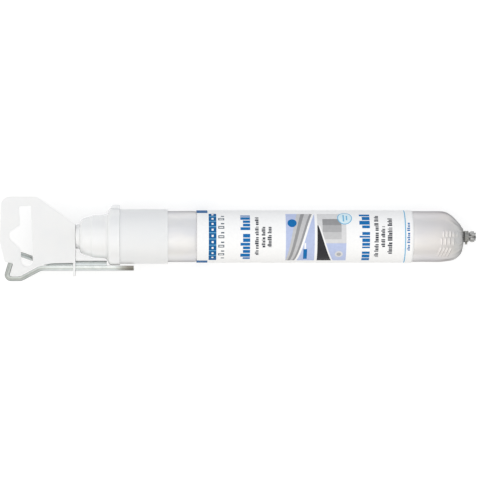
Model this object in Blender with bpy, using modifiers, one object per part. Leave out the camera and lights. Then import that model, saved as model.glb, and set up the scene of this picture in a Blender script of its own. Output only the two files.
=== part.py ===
"""A small foil press pack of sealant, lying on its side, with its hang tab and winding key.

The filled foil bag lies along X, with the gathered tail at +X and the nozzle at -X. The origin
is on the floor under the middle of the label. +Z is up. All sizes are in metres.
"""

import math

import bmesh
import bpy
from mathutils import Matrix, Vector

# Fits that several pieces share
GAP = 0.0003
MERGE = 0.00001
ROUND_STEPS = 56

# Clearance of the head's widest piece from the floor below it and the key beside it
HEAD_CLEARANCE = 0.00025

# Foil bag
FOIL_RADIUS = 0.0127
FOIL_FLAT_DROP = 0.00048
FOIL_HEAD_DEPTH = 0.0025
BARE_HEAD_LENGTH = 0.0143
BARE_TAIL_LENGTH = 0.0160
TAIL_LENGTH = 0.0103
TAIL_LEAN = 0.0015
PLEAT_COUNT = 14
PLEAT_DEPTH = 0.0007
NECK_RADIUS = 0.0021
GATHER_LENGTH = 0.0036
GATHER_RADIUS = 0.0029
SAG_LENGTH = 0.0280

# Label, a film sleeve round the bag
LABEL_LENGTH = 0.1076
LABEL_THICKNESS = 0.00025
LABEL_SEAT_STEP = 0.0010
LABEL_STEP_UP = 0.0004

# Tail clip
CLIP_LENGTH = 0.0023
CLIP_WALL = 0.0002
CLIP_BULGE = 0.0003
CLIP_NIB_SIZE = 0.0011
CLIP_NIB_REACH = 0.0040

# Collar, a sleeve with a threaded neck
COLLAR_LENGTH = 0.0235
COLLAR_WALL = 0.0006
COLLAR_EDGE = 0.0004
COLLAR_SHOULDER = 0.0014
NECK_OUTER_RADIUS = 0.0119
NECK_WALL = 0.0015
NECK_LENGTH = 0.0048

# Nozzle
SKIRT_LENGTH = 0.0059
SKIRT_WALL = 0.00205
SKIRT_EDGE = 0.0017
NOZZLE_WALL = 0.0014
SHOULDER_LENGTH = 0.01585
SHOULDER_STEP = 0.0033
SPOUT_ROOT_RADIUS = 0.0038
SPOUT_TIP_RADIUS = 0.0033
SPOUT_LENGTH = 0.0185
SPOUT_TIP_ROUND = 0.0012
SPOUT_BORE_RADIUS = 0.0019
SPOUT_TIP_WALL = 0.0015
LUG_LENGTH = 0.0045
LUG_WIDTH = 0.0070
LUG_RISE = 0.0015
LUG_EDGE = 0.0005

# Hang tab with its upright plate
TAB_THICKNESS = 0.0009
TAB_LENGTH = 0.0362
TAB_HALF_WIDTH = 0.0198
TAB_ABOVE_SPOUT = 0.0007
PLATE_THICKNESS = 0.0011
PLATE_TOP = 0.0061
PLATE_PAST_KEY = 0.0051
PLATE_BELOW_AXIS = 0.0072
PLATE_CORNER = 0.0030
SLOT_LENGTH = 0.0297
SLOT_WIDTH = 0.0058
SLOT_TILT = 2.0
ARC_STEPS = 6

# Winding key, a split pin of half-round wire
WIRE_THICKNESS = 0.00245
WIRE_HALF_WIDTH = 0.0024
WIRE_EDGE_STEPS = 7
LEG_GAP = 0.0001
LONG_LEG_PAST_PLATE = 0.0289
SHORT_LEG_PAST_PLATE = 0.0155
EYE_LENGTH = 0.01735
EYE_RISE = 0.0056
EYE_DROP = 0.0065
EYE_NECK = 0.01625
EYE_NECK_STAGGER = 0.0025
KEY_HOLE_GAP = 0.0003

# Places along X, each worked out from its neighbour
LABEL_HEAD_END = -LABEL_LENGTH / 2
LABEL_TAIL_END = LABEL_LENGTH / 2
COLLAR_TAIL_END = LABEL_HEAD_END - BARE_HEAD_LENGTH
COLLAR_HEAD_END = COLLAR_TAIL_END - COLLAR_LENGTH
SKIRT_END = COLLAR_HEAD_END - GAP
SKIRT_START = SKIRT_END - SKIRT_LENGTH
NOZZLE_FACE = SKIRT_START - SHOULDER_LENGTH
PLATE_BACK = NOZZLE_FACE - GAP
PLATE_FRONT = PLATE_BACK - PLATE_THICKNESS
TAIL_START = LABEL_TAIL_END + BARE_TAIL_LENGTH
CLIP_START = TAIL_START + TAIL_LENGTH
CLIP_END = CLIP_START + CLIP_LENGTH
FOIL_HEAD_END = COLLAR_HEAD_END + COLLAR_SHOULDER + GAP

# Radii and heights that follow from the sizes above
COLLAR_BORE_RADIUS = FOIL_RADIUS + GAP
COLLAR_RADIUS = COLLAR_BORE_RADIUS + COLLAR_WALL
SKIRT_BORE_RADIUS = NECK_OUTER_RADIUS + GAP
SKIRT_RADIUS = SKIRT_BORE_RADIUS + SKIRT_WALL
SHOULDER_RADIUS = SKIRT_RADIUS - SHOULDER_STEP
AXIS_HEIGHT = max(SKIRT_RADIUS, COLLAR_RADIUS) + HEAD_CLEARANCE
KEY_BELOW_AXIS = AXIS_HEIGHT
PLATE_FOOT = KEY_BELOW_AXIS + PLATE_PAST_KEY
TAB_ABOVE_AXIS = SPOUT_ROOT_RADIUS + TAB_ABOVE_SPOUT
CLIP_BORE_RADIUS = NECK_RADIUS + GAP
CLIP_WAIST_RADIUS = CLIP_BORE_RADIUS + CLIP_WALL
LABEL_RADIUS = FOIL_RADIUS + LABEL_STEP_UP
LABEL_BORE_RADIUS = LABEL_RADIUS - LABEL_THICKNESS
FOIL_SEAT_RADIUS = LABEL_BORE_RADIUS - GAP
LYING_HEIGHT = LABEL_RADIUS - FOIL_FLAT_DROP
SAG_DROP = AXIS_HEIGHT - LYING_HEIGHT
TAB_UNDERSIDE = AXIS_HEIGHT + TAB_ABOVE_AXIS


def clear_scene():
    """Remove whatever the scene holds, so that the script can be run again."""
    for item in list(bpy.data.objects):
        bpy.data.objects.remove(item, do_unlink=True)
    for group in list(bpy.data.collections):
        bpy.data.collections.remove(group)


def new_collection(name):
    """Make a collection in the scene."""
    group = bpy.data.collections.new(name)
    bpy.context.scene.collection.children.link(group)
    return group


def new_material(name, colour, roughness, metallic=0.0):
    """Make a plain Principled material."""
    material = bpy.data.materials.new(name)
    material.use_nodes = True
    shader = material.node_tree.nodes["Principled BSDF"]
    shader.inputs["Base Color"].default_value = (*colour, 1.0)
    shader.inputs["Roughness"].default_value = roughness
    shader.inputs["Metallic"].default_value = metallic
    material.diffuse_color = (*colour, 1.0)
    return material


def add_object(name, data, group, material=None):
    """Put mesh or curve data into the scene under a name."""
    item = bpy.data.objects.new(name, data)
    group.objects.link(item)
    if material is not None:
        data.materials.append(material)
    return item


def mark_as_cutter(item):
    """Show a cutter or guide as wire only and keep it out of the model."""
    item.hide_render = True
    item.display_type = "WIRE"


def shade_round(mesh, angle=40.0):
    """Shade a mesh smooth, with its true edges kept sharp."""
    mesh.shade_smooth()
    mesh.set_sharp_from_angle(angle=math.radians(angle))


def baked(item, name, group, material):
    """Turn an object and its modifiers into a plain welded mesh in world space."""
    bpy.context.view_layer.update()
    evaluated = item.evaluated_get(bpy.context.evaluated_depsgraph_get())
    mesh = bpy.data.meshes.new_from_object(evaluated)
    mesh.transform(item.matrix_world)
    bpy.data.objects.remove(item, do_unlink=True)
    work = bmesh.new()
    work.from_mesh(mesh)
    bmesh.ops.remove_doubles(work, verts=work.verts, dist=MERGE)
    bmesh.ops.recalc_face_normals(work, faces=work.faces)
    work.to_mesh(mesh)
    work.free()
    mesh.materials.clear()
    return add_object(name, mesh, group, material)


def boolean(item, operand, operation):
    """Cut or join another object with an exact Boolean."""
    modifier = item.modifiers.new(operation.title(), "BOOLEAN")
    modifier.operation = operation
    modifier.solver = "EXACT"
    modifier.object = operand
    mark_as_cutter(operand)


def turned(name, profile, group, material, closed=False):
    """Turn a profile of (place along X, radius) points about the head's axis.

    The profile runs along the outer side towards +X and comes back along the inner side.
    """
    mesh = bpy.data.meshes.new(name)
    points = [(radius, 0.0, -along) for along, radius in profile]
    edges = [(i, i + 1) for i in range(len(points) - 1)]
    if closed:
        edges.append((len(points) - 1, 0))
    mesh.from_pydata(points, edges, [])
    item = add_object(name, mesh, group, material)
    item.location = (0.0, 0.0, AXIS_HEIGHT)
    item.rotation_euler = (0.0, -math.pi / 2, 0.0)
    screw = item.modifiers.new("Turn", "SCREW")
    screw.steps = ROUND_STEPS
    screw.render_steps = ROUND_STEPS
    screw.use_merge_vertices = True
    screw.merge_threshold = MERGE
    screw.use_smooth_shade = True
    return item


def arc(centre, radius, start, end, steps):
    """Points of an arc in a plane, with its angles in degrees."""
    points = []
    for i in range(steps + 1):
        angle = math.radians(start + (end - start) * i / steps)
        points.append((centre[0] + radius * math.cos(angle), centre[1] + radius * math.sin(angle)))
    return points


def rounded_outline(corners, closed=True, steps=ARC_STEPS):
    """Replace each corner (x, y, radius) of an outline by a tangent arc."""
    points = []
    count = len(corners)
    for i, (x, y, radius) in enumerate(corners):
        here = Vector((x, y))
        if radius == 0 or (not closed and i in (0, count - 1)):
            points.append((x, y))
            continue
        before = (Vector(corners[i - 1][:2]) - here).normalized()
        after = (Vector(corners[(i + 1) % count][:2]) - here).normalized()
        half = before.angle(after) / 2
        reach = radius / math.tan(half)
        middle = here + (before + after).normalized() * (radius / math.sin(half))
        first = here + before * reach - middle
        last = here + after * reach - middle
        turn = first.angle_signed(last)
        for k in range(steps + 1):
            swung = Matrix.Rotation(-turn * k / steps, 2) @ first
            points.append(tuple(middle + swung))
    return points


def flat_curve(name, outlines, thickness):
    """Make a filled 2D curve from closed outlines, the first of them the outer one."""
    curve = bpy.data.curves.new(name, "CURVE")
    curve.dimensions = "2D"
    curve.fill_mode = "BOTH"
    curve.extrude = thickness / 2
    for outline in outlines:
        spline = curve.splines.new("POLY")
        spline.points.add(len(outline) - 1)
        for point, (x, y) in zip(spline.points, outline):
            point.co = (x, y, 0.0, 1.0)
        spline.use_cyclic_u = True
    return curve


def smooth_share(value, start, end):
    """Rise smoothly from 0 at start to 1 at end."""
    share = min(max((value - start) / (end - start), 0.0), 1.0)
    return share * share * (3 - 2 * share)


def settle(item):
    """Let a turned soft piece sag past the collar and lie flat along its underside.

    The flat is as far below the centre as the piece's own radius less the drop.
    """
    for vertex in item.data.vertices:
        x, y, z = vertex.co
        height = z - AXIS_HEIGHT
        radius = math.hypot(y, height)
        sag = smooth_share(x, COLLAR_TAIL_END, COLLAR_TAIL_END + SAG_LENGTH)
        lying = 1.0 - smooth_share(x, TAIL_START - FOIL_RADIUS, TAIL_START)
        floor = -radius + FOIL_FLAT_DROP * sag * lying
        vertex.co.z = AXIS_HEIGHT - SAG_DROP * sag + max(height, floor)


def pleat_tail(item):
    """Gather the bag's tail into pleats that deepen towards the clip, and lean its shoulder."""
    start = TAIL_START - BARE_TAIL_LENGTH / 4
    shallow_share = 0.55
    for vertex in item.data.vertices:
        x, y, z = vertex.co
        if x < start:
            continue
        height = z - LYING_HEIGHT
        radius = math.hypot(y, height)
        if radius < MERGE:
            continue
        angle = math.atan2(height, y)
        gathered = smooth_share(x, start, CLIP_START - TAIL_LENGTH / 4)
        held = smooth_share(x, CLIP_START - NECK_RADIUS, CLIP_START)
        freed = smooth_share(x, CLIP_END, CLIP_END + GATHER_LENGTH)
        wave = (1 - math.cos(PLEAT_COUNT * angle)) / 2
        swing = (1 - math.cos((PLEAT_COUNT / 2 - 2) * angle + 1)) / 2
        depth = PLEAT_DEPTH * (gathered * (1 - held) + freed)
        share = 1 - depth * wave * (shallow_share + (1 - shallow_share) * swing) / radius
        leaning = smooth_share(x, TAIL_START, CLIP_START - NECK_RADIUS)
        upright = smooth_share(x, CLIP_START - NECK_RADIUS / 2, CLIP_START - GAP)
        vertex.co.y = y * share - TAIL_LEAN * leaning * (1 - upright)
        vertex.co.z = LYING_HEIGHT + height * share


def foil_profile():
    """Outline of the bag, from its head end to its gathered tail."""
    seat_in = LABEL_HEAD_END - LABEL_SEAT_STEP / 4
    seat_out = LABEL_TAIL_END + LABEL_SEAT_STEP / 4
    body = seat_out - seat_in
    head = [
        (FOIL_HEAD_END, 0.0),
        (FOIL_HEAD_END, FOIL_RADIUS - FOIL_HEAD_DEPTH),
        (FOIL_HEAD_END + FOIL_HEAD_DEPTH / 4, FOIL_RADIUS - FOIL_HEAD_DEPTH / 4),
        (FOIL_HEAD_END + FOIL_HEAD_DEPTH, FOIL_RADIUS),
    ]
    bare_shares = (0.0, 0.34, 0.67, 0.93)
    bare = [(COLLAR_TAIL_END + BARE_HEAD_LENGTH * share, FOIL_RADIUS) for share in bare_shares]
    seat_shares = (0.0, 0.05, 0.1, 0.15, 0.4, 0.7, 1.0)
    seat = [(seat_in + body * share, FOIL_SEAT_RADIUS) for share in seat_shares]
    bare_tail = [
        (LABEL_TAIL_END + LABEL_SEAT_STEP, FOIL_RADIUS),
        (LABEL_TAIL_END + BARE_TAIL_LENGTH / 4, FOIL_RADIUS),
    ]
    shoulder_shares = (
        (-0.4, 1.0),
        (-0.16, 0.997),
        (0.03, 0.982),
        (0.19, 0.952),
        (0.34, 0.910),
        (0.48, 0.855),
        (0.58, 0.800),
        (0.68, 0.732),
        (0.77, 0.660),
        (0.85, 0.580),
        (0.90, 0.490),
        (0.94, 0.390),
        (0.962, 0.300),
    )
    shoulder = [(TAIL_START + TAIL_LENGTH * along, FOIL_RADIUS * out) for along, out in shoulder_shares]
    neck = [
        (CLIP_START - GAP, NECK_RADIUS),
        (CLIP_END + GAP, NECK_RADIUS),
    ]
    gather_shares = ((0.22, 0.86), (0.45, 1.0), (0.8, 0.97), (1.0, 0.8))
    gather = [(CLIP_END + GATHER_LENGTH * along, GATHER_RADIUS * out) for along, out in gather_shares]
    end_shares = ((0.86, 0.4), (0.8, 0.0))
    end = [(CLIP_END + GATHER_LENGTH * along, GATHER_RADIUS * out) for along, out in end_shares]
    return head + bare + seat + bare_tail + shoulder + neck + gather + end


def make_foil_pack(group, material):
    """The sealed, filled foil bag."""
    raw = turned("foil_raw", foil_profile(), group, material)
    pack = baked(raw, "foil_pack", group, material)
    settle(pack)
    pleat_tail(pack)
    shade_round(pack.data, 60.0)
    return pack


def make_label(group, material):
    """The printed film label round the bag."""
    shares = (0.0, 0.05, 0.1, 0.15, 0.4, 0.7, 1.0)
    places = [LABEL_HEAD_END + LABEL_LENGTH * share for share in shares]
    outer = [(x, LABEL_RADIUS) for x in places]
    inner = [(x, LABEL_BORE_RADIUS) for x in reversed(places)]
    raw = turned("label_raw", outer + inner, group, material, closed=True)
    label = baked(raw, "label_wrap", group, material)
    settle(label)
    shade_round(label.data)
    return label


def make_tail_clip(group, cutters, material):
    """The crimped clip: two bulged turns round the gathered foil, with a folded nib."""
    turn_shares = (
        (0.0, 0.4),
        (0.12, 1.0),
        (0.36, 1.0),
        (0.5, 0.0),
        (0.64, 1.0),
        (0.88, 1.0),
        (1.0, 0.4),
    )
    profile = [(CLIP_START + CLIP_LENGTH * along, CLIP_WAIST_RADIUS + CLIP_BULGE * out) for along, out in turn_shares]
    profile += [(CLIP_END, CLIP_BORE_RADIUS), (CLIP_START, CLIP_BORE_RADIUS)]
    raw = turned("clip_raw", profile, group, material, closed=True)
    clip = baked(raw, "tail_clip", group, material)
    clip.data.transform(Matrix.Translation((0.0, 0.0, -SAG_DROP)))
    nib_mesh = bpy.data.meshes.new("clip_nib")
    work = bmesh.new()
    bmesh.ops.create_cube(work, size=1.0)
    length = CLIP_NIB_REACH - NECK_RADIUS - GAP * 2
    bmesh.ops.scale(work, verts=work.verts, vec=(CLIP_NIB_SIZE, length, CLIP_NIB_SIZE))
    work.to_mesh(nib_mesh)
    work.free()
    nib = add_object("clip_nib", nib_mesh, cutters)
    nib.location = (CLIP_START + CLIP_LENGTH / 2, -CLIP_NIB_REACH + length / 2, LYING_HEIGHT)
    boolean(clip, nib, "UNION")
    shade_round(clip.data)
    return clip


def make_collar(group, material):
    """The sleeve that holds the bag, with the neck that the nozzle screws on."""
    shoulder_back = COLLAR_HEAD_END + COLLAR_SHOULDER
    neck_bore = NECK_OUTER_RADIUS - NECK_WALL
    neck_front = COLLAR_HEAD_END - NECK_LENGTH
    profile = [
        (neck_front, neck_bore),
        (neck_front, NECK_OUTER_RADIUS - COLLAR_EDGE),
        (neck_front + COLLAR_EDGE, NECK_OUTER_RADIUS),
        (COLLAR_HEAD_END, NECK_OUTER_RADIUS),
        (COLLAR_HEAD_END, COLLAR_RADIUS - COLLAR_EDGE),
        (COLLAR_HEAD_END + COLLAR_EDGE, COLLAR_RADIUS),
        (COLLAR_TAIL_END - COLLAR_EDGE, COLLAR_RADIUS),
        (COLLAR_TAIL_END - COLLAR_EDGE / 4, COLLAR_RADIUS - COLLAR_EDGE / 4),
        (COLLAR_TAIL_END, COLLAR_RADIUS - COLLAR_EDGE / 2),
        (COLLAR_TAIL_END, COLLAR_BORE_RADIUS),
        (shoulder_back, COLLAR_BORE_RADIUS),
        (shoulder_back, neck_bore),
    ]
    collar = turned("collar", profile, group, material, closed=True)
    return collar


def nozzle_profile():
    """Outline of the nozzle, spout tip to skirt rim and back up the inside."""
    tip = PLATE_FRONT - SPOUT_LENGTH
    spout = [(tip, 0.0)]
    spout += [(x, r) for x, r in reversed(arc((tip + SPOUT_TIP_ROUND, SPOUT_TIP_RADIUS - SPOUT_TIP_ROUND),
                                              SPOUT_TIP_ROUND, 90, 180, 4))]
    shoulder_shares = (
        (0.0, 0.47),
        (0.012, 0.53),
        (0.04, 0.56),
        (0.1, 0.57),
        (0.115, 0.63),
        (0.132, 0.72),
        (0.16, 0.775),
        (0.21, 0.82),
        (0.3, 0.865),
        (0.41, 0.90),
        (0.46, 0.918),
        (0.51, 0.96),
        (0.6, 0.975),
        (0.82, 0.99),
        (0.905, 1.01),
        (0.955, 1.05),
        (0.985, 1.10),
        (1.0, 1.16),
    )
    shoulder = [(NOZZLE_FACE + SHOULDER_LENGTH * along, SHOULDER_RADIUS * out) for along, out in shoulder_shares]
    skirt = arc((SKIRT_START + SKIRT_EDGE, SKIRT_RADIUS - SKIRT_EDGE), SKIRT_EDGE, 165, 90, 4)
    throat = SHOULDER_RADIUS - NOZZLE_WALL * 2
    bore_tip_share = 0.75
    inside = [
        (SKIRT_END, SKIRT_RADIUS),
        (SKIRT_END, SKIRT_BORE_RADIUS),
        (SKIRT_START + NOZZLE_WALL / 2, SKIRT_BORE_RADIUS),
        (SKIRT_START - NOZZLE_WALL / 2, throat),
        (NOZZLE_FACE + SHOULDER_LENGTH / 2, throat - NOZZLE_WALL / 2),
        (NOZZLE_FACE + NOZZLE_WALL, SPOUT_BORE_RADIUS + NOZZLE_WALL / 4),
        (tip + SPOUT_TIP_WALL, SPOUT_BORE_RADIUS * bore_tip_share),
        (tip + SPOUT_TIP_WALL, 0.0),
    ]
    return spout + [(NOZZLE_FACE, SPOUT_ROOT_RADIUS)] + shoulder + skirt + inside


def make_nozzle(group, cutters, material):
    """The screw-on nozzle with its closed spout, skirt and rim lug."""
    raw = turned("nozzle_raw", nozzle_profile(), group, material)
    nozzle = baked(raw, "nozzle", group, material)
    lug_mesh = bpy.data.meshes.new("nozzle_lug")
    depth = SKIRT_WALL + LUG_RISE - LUG_EDGE
    work = bmesh.new()
    bmesh.ops.create_cube(work, size=1.0)
    bmesh.ops.scale(work, verts=work.verts, vec=(LUG_LENGTH, depth, LUG_WIDTH))
    for vertex in work.verts:
        if vertex.co.x < 0 and vertex.co.y > 0:
            vertex.co.x += LUG_RISE / 2
    work.to_mesh(lug_mesh)
    work.free()
    lug = add_object("nozzle_lug", lug_mesh, cutters)
    lug.location = (SKIRT_END - LUG_LENGTH / 2, SKIRT_RADIUS + LUG_RISE - depth / 2, AXIS_HEIGHT)
    bevel = lug.modifiers.new("Edges", "BEVEL")
    bevel.width = LUG_EDGE
    bevel.segments = 2
    boolean(nozzle, lug, "UNION")
    shade_round(nozzle.data)
    return nozzle


def tab_outline():
    """Corners of the tab in plan, as shares of its length and half width."""
    foot = PLATE_FOOT / TAB_HALF_WIDTH
    corner_shares = (
        (0.0, PLATE_TOP / TAB_HALF_WIDTH, 0.0),
        (0.498, 1.0, 0.05),
        (0.985, 1.0, 0.12),
        (1.0, -0.14, 0.25),
        (0.935, -0.64, 0.02),
        (0.818, -0.668, 0.022),
        (0.868, -1.0, 0.03),
        (0.735, -1.0, 0.09),
        (0.475, -0.73, 0.15),
        (0.28, -0.67, 0.2),
        (0.0, -0.66, 0.0),
    )
    corners = []
    for along, across, radius in corner_shares:
        corners.append((PLATE_FRONT - TAB_LENGTH * along, TAB_HALF_WIDTH * across, TAB_LENGTH * radius))
    corners[0] = (PLATE_BACK, PLATE_TOP, 0.0)
    corners[-1] = (PLATE_BACK, corners[-1][1], 0.0)
    return rounded_outline(corners)


def slot_outline():
    """The hanging slot in plan: a long slot with a hump towards the tab's end."""
    half = SLOT_LENGTH / 2
    side = SLOT_WIDTH / 2
    corner_shares = (
        (1.0, 1.0, 0.2),
        (-1.0, 1.0, 0.96),
        (-1.0, -1.0, 0.96),
        (-0.43, -1.0, 0.3),
        (-0.06, -2.85, 0.45),
        (0.15, -2.85, 0.45),
        (0.37, -1.0, 0.3),
        (1.0, -1.0, 0.2),
    )
    along_share, across_share = 0.642, 0.008
    centre = Vector((PLATE_FRONT - TAB_LENGTH * along_share, TAB_HALF_WIDTH * across_share))
    turn = Matrix.Rotation(math.radians(SLOT_TILT), 2)
    corners = []
    for along, across, radius in corner_shares:
        place = centre + turn @ Vector((side * across, half * along))
        corners.append((place.x, place.y, side * radius))
    return rounded_outline(corners)


def make_hang_tab(group, cutters, material):
    """The tab and its upright plate, one moulding."""
    tab_curve = add_object("tab_flat", flat_curve("tab_flat", [tab_outline(), slot_outline()], TAB_THICKNESS), group)
    tab_curve.location.z = TAB_UNDERSIDE + TAB_THICKNESS / 2
    tab = baked(tab_curve, "hang_tab", group, material)

    top = TAB_ABOVE_AXIS + TAB_THICKNESS
    plate_corners = (
        (-PLATE_FOOT, top, PLATE_CORNER / 3),
        (PLATE_TOP, top, 0.0),
        (PLATE_TOP, -PLATE_BELOW_AXIS, PLATE_CORNER),
        (-PLATE_FOOT, -PLATE_BELOW_AXIS, PLATE_CORNER),
    )
    spout_hole = arc((0.0, 0.0), SPOUT_ROOT_RADIUS + GAP, 0, 345, 23)
    key_hole = arc((-KEY_BELOW_AXIS, 0.0), key_radius() + KEY_HOLE_GAP, 0, 345, 23)
    outlines = [rounded_outline(plate_corners), spout_hole, key_hole]
    plate_curve = add_object("tab_plate", flat_curve("tab_plate", outlines, PLATE_THICKNESS), cutters)
    plate_curve.matrix_world = (
        Matrix.Translation((PLATE_FRONT + PLATE_THICKNESS / 2, 0.0, AXIS_HEIGHT))
        @ Matrix.Rotation(math.pi / 2, 4, "Z")
        @ Matrix.Rotation(math.pi / 2, 4, "X")
    )
    plate = baked(plate_curve, "tab_plate_solid", cutters, material)
    boolean(tab, plate, "UNION")
    shade_round(tab.data)
    return tab


def key_radius():
    """Radius of the round bar that both half-round legs make together."""
    return max(WIRE_THICKNESS + LEG_GAP / 2, WIRE_HALF_WIDTH)


def key_path():
    """Centre line of the bent wire in plan: long leg, eye, short leg."""
    offset = (LEG_GAP + WIRE_THICKNESS) / 2
    line = -KEY_BELOW_AXIS
    eye_root = PLATE_FRONT - EYE_NECK
    eye_end = eye_root - EYE_LENGTH
    low_shares = ((0.44, 0.2), (0.0, 0.11))
    high_shares = ((0.21, 0.12), (0.452, 0.4))
    neck_shares = (0.4, 0.5)
    corners = [
        (PLATE_BACK + LONG_LEG_PAST_PLATE, line - offset, 0.0),
        (eye_root, line - offset, EYE_LENGTH * neck_shares[0]),
    ]
    for along, radius in low_shares:
        corners.append((eye_end + EYE_LENGTH * along, line - EYE_DROP, EYE_LENGTH * radius))
    for along, radius in high_shares:
        corners.append((eye_end + EYE_LENGTH * along, line + EYE_RISE, EYE_LENGTH * radius))
    corners.append((eye_root + EYE_NECK_STAGGER, line + offset, EYE_LENGTH * neck_shares[1]))
    corners.append((PLATE_BACK + SHORT_LEG_PAST_PLATE, line + offset, 0.0))
    return rounded_outline(corners, closed=False)


def wire_section():
    """Half-round section of the wire, flat on its inner side."""
    half = WIRE_THICKNESS / 2
    steps = WIRE_EDGE_STEPS
    points = []
    for i in range(steps + 1):
        angle = math.pi * i / steps
        points.append((half - WIRE_THICKNESS * math.sin(angle), WIRE_HALF_WIDTH * math.cos(angle)))
    return points


def make_winding_key(group, cutters, material):
    """The split pin: one half-round wire bent into an eye and two legs."""
    section = bpy.data.curves.new("wire_section", "CURVE")
    section.dimensions = "2D"
    outline = section.splines.new("POLY")
    points = wire_section()
    outline.points.add(len(points) - 1)
    for point, (across, up) in zip(outline.points, points):
        point.co = (across, up, 0.0, 1.0)
    outline.use_cyclic_u = True
    guide = add_object("wire_section", section, cutters)
    mark_as_cutter(guide)

    curve = bpy.data.curves.new("winding_key", "CURVE")
    curve.dimensions = "2D"
    curve.bevel_mode = "OBJECT"
    curve.bevel_object = guide
    curve.use_fill_caps = True
    path = key_path()
    spline = curve.splines.new("POLY")
    spline.points.add(len(path) - 1)
    for point, (x, y) in zip(spline.points, path):
        point.co = (x, y, 0.0, 1.0)
    raw = add_object("key_raw", curve, group)
    raw.location.z = AXIS_HEIGHT
    key = baked(raw, "winding_key", group, material)
    shade_round(key.data, 50.0)
    return key


def set_origin(item, place):
    """Move an object's origin to a place on its joint's axis and leave its mesh where it is."""
    world = item.matrix_world.copy()
    item.data.transform(Matrix.Translation(-Vector(place)) @ world)
    item.matrix_world = Matrix.Translation(place)


def main():
    clear_scene()
    group = new_collection("foil_press_pack")
    cutters = new_collection("cutters")

    foil = new_material("foil", (0.66, 0.66, 0.67), 0.28, 1.0)
    film = new_material("label_film", (0.93, 0.93, 0.93), 0.4)
    dull_metal = new_material("clip_metal", (0.36, 0.36, 0.34), 0.45, 1.0)
    white_plastic = new_material("white_plastic", (0.87, 0.88, 0.88), 0.35)
    frosted_plastic = new_material("frosted_plastic", (0.84, 0.85, 0.85), 0.5)
    steel = new_material("steel_wire", (0.58, 0.62, 0.61), 0.25, 1.0)

    make_foil_pack(group, foil)
    make_label(group, film)
    make_tail_clip(group, cutters, dull_metal)
    make_collar(group, white_plastic)
    nozzle = make_nozzle(group, cutters, white_plastic)
    tab = make_hang_tab(group, cutters, frosted_plastic)
    key = make_winding_key(group, cutters, steel)

    set_origin(nozzle, (SKIRT_END, 0.0, AXIS_HEIGHT))
    set_origin(tab, (PLATE_FRONT, 0.0, AXIS_HEIGHT))
    set_origin(key, (PLATE_FRONT, -KEY_BELOW_AXIS, AXIS_HEIGHT))


main()
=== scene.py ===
import math
import random
from collections import namedtuple

import bmesh
import bpy
import numpy as np
from mathutils import Matrix, Vector, noise
from mathutils.bvhtree import BVHTree


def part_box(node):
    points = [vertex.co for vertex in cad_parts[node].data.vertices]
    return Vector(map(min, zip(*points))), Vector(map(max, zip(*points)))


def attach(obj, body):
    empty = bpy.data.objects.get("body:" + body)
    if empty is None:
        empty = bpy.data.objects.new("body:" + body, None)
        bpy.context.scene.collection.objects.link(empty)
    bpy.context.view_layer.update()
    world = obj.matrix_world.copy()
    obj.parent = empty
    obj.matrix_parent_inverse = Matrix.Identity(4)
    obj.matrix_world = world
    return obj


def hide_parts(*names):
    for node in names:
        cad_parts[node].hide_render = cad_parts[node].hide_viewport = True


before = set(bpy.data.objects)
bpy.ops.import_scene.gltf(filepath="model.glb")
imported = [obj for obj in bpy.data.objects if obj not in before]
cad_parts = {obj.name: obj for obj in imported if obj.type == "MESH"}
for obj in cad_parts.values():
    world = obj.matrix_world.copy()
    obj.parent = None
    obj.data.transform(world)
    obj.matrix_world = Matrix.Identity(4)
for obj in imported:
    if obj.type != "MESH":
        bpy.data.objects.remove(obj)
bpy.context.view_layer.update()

MM = 0.001

# Camera, over the collar and looking a little towards the label
AXIS_HEIGHT = 14.5 * MM
CAMERA_X = -75.0 * MM
CAMERA_Y = -1.75 * MM
CAMERA_RISE = 1.3
CAMERA_REACH = 20.0
AIM_X = -32.1 * MM
CAMERA_LENS = 195.6
CAMERA_SENSOR = 36.0

# Floor, surround and lamps, with their brightness where 1 is white and their angles in degrees
FLOOR_SIZE = 6.0
FLOOR_COLOUR = 0.56
FLOOR_GLOW = 0.56
FLOOR_ROUGHNESS = 0.9
SURROUND_NEAR = (0.88, 0.86, 0.82)
SURROUND_FAR = (0.79, 0.81, 0.84)
SURROUND_SIDE = (0.45, 0.89, 0.0)
LAMP_START = -3.0
LAMP_END = 0.4
PANEL_LAMP = {"height": 1.40, "start": -62.0, "end": 43.0, "brightness": 0.23}
KEY_LAMP = {"height": 1.35, "start": -45.0, "end": 2.0, "brightness": 0.22}

# Two tones that noise mixes on each piece. A film's second tone is its ink made a little paler.
FOIL_TONES = ((0.78, 0.78, 0.80), (0.84, 0.83, 0.82))
# The crushed end's dark tones are painted shade in its folds
CRUSHED_SHADE_TONES = ((0.22, 0.22, 0.215), (0.60, 0.60, 0.59))
COLLAR_TONES = ((0.85, 0.86, 0.87), (0.875, 0.88, 0.885))
NOZZLE_TONES = ((0.85, 0.86, 0.87), (0.875, 0.88, 0.88))
TAB_TONES = ((0.875, 0.88, 0.885), (0.90, 0.90, 0.895))
STEEL_TONES = ((0.64, 0.69, 0.68), (0.76, 0.79, 0.78))
CLIP_TONES = ((0.20, 0.20, 0.19), (0.42, 0.42, 0.40))
FILM_GAIN = 1.08
FILM_LIFT = 0.004

# Least and most roughness of each piece. No span crosses 0.27, where a denoised render draws smudges.
FOIL_ROUGHNESS = (0.34, 0.44)
CRUSHED_ROUGHNESS = (0.30, 0.45)
FILM_ROUGHNESS = (0.38, 0.47)
PLASTIC_ROUGHNESS = (0.30, 0.39)
TAB_ROUGHNESS = (0.46, 0.58)
STEEL_ROUGHNESS = (0.17, 0.25)
CLIP_ROUGHNESS = (0.34, 0.52)

# The part of a noise's range that most of its values lie in
NOISE_LOW = 0.2
NOISE_HIGH = 0.8
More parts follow.
